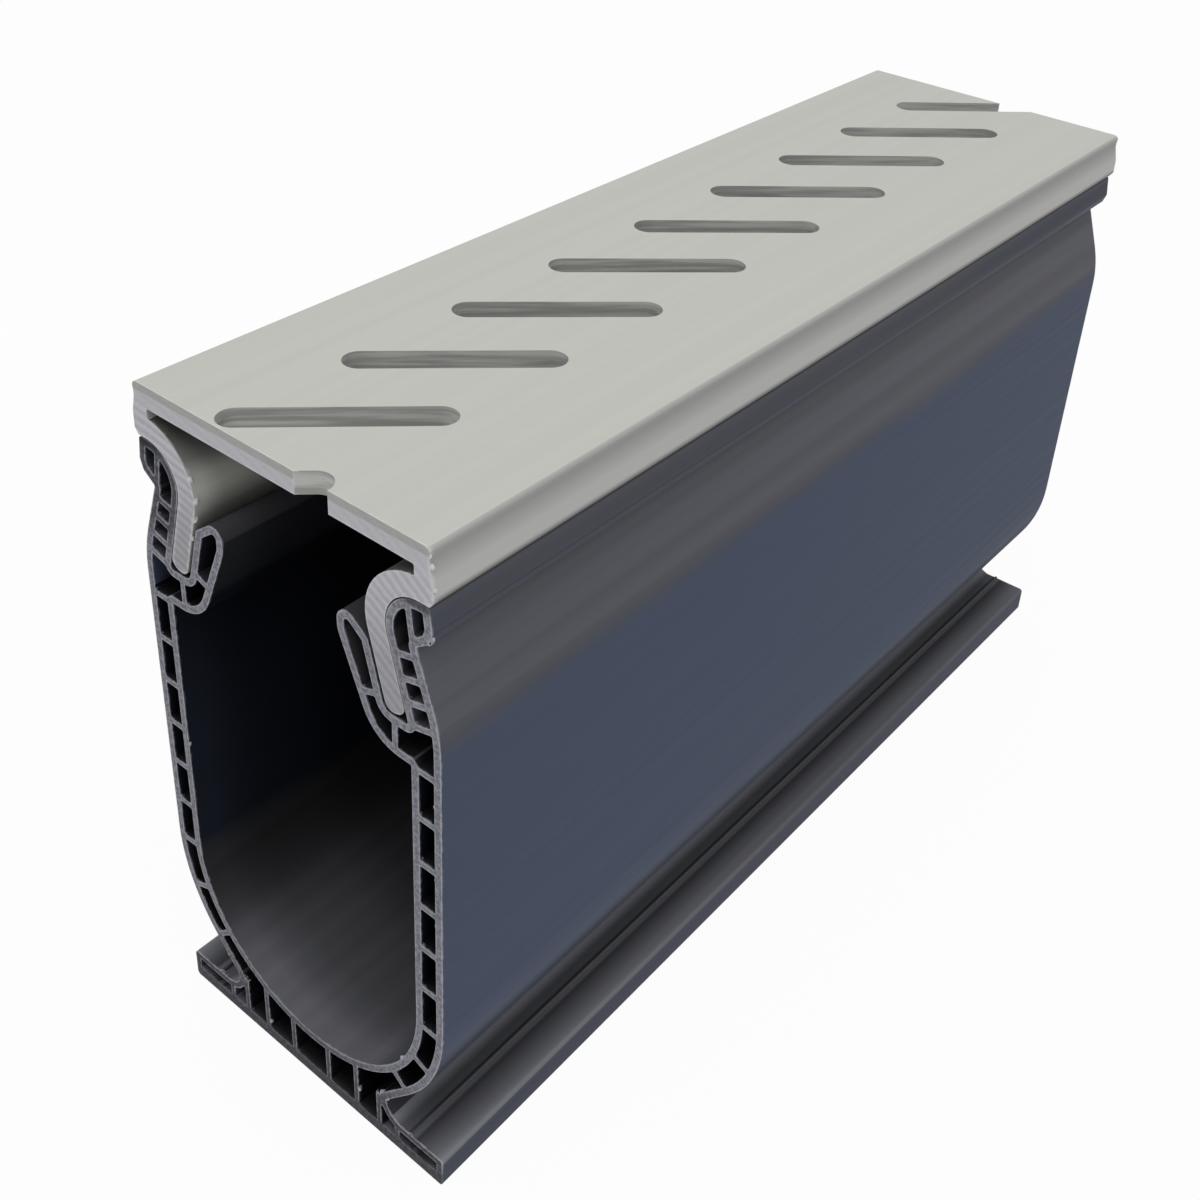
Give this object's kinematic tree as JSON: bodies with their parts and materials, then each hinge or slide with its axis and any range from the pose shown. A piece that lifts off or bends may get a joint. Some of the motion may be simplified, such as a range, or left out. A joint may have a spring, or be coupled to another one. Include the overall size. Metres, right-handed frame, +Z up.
{
  "type": "channel drain",
  "caption": "Length of deep channel drain: a round-bottomed hollow-walled channel on a flat foot, with a snap-in cover that has slanted slots.",
  "frame": {"origin": "middle of the underside of the foot, half way along the length", "axes": "+X across the drain to the right, +Y along the drain away from the cut end that the picture shows, +Z up"},
  "size_m": [0.0868, 0.282, 0.1723],
  "materials": {
    "channel_plastic": "satin dark slate extruded plastic",
    "cover_plastic": "satin warm light grey extruded plastic"
  },
  "bodies": {
    "root": {"channel_body": "channel_plastic", "slotted_cover": "cover_plastic"}
  },
  "joints": []
}
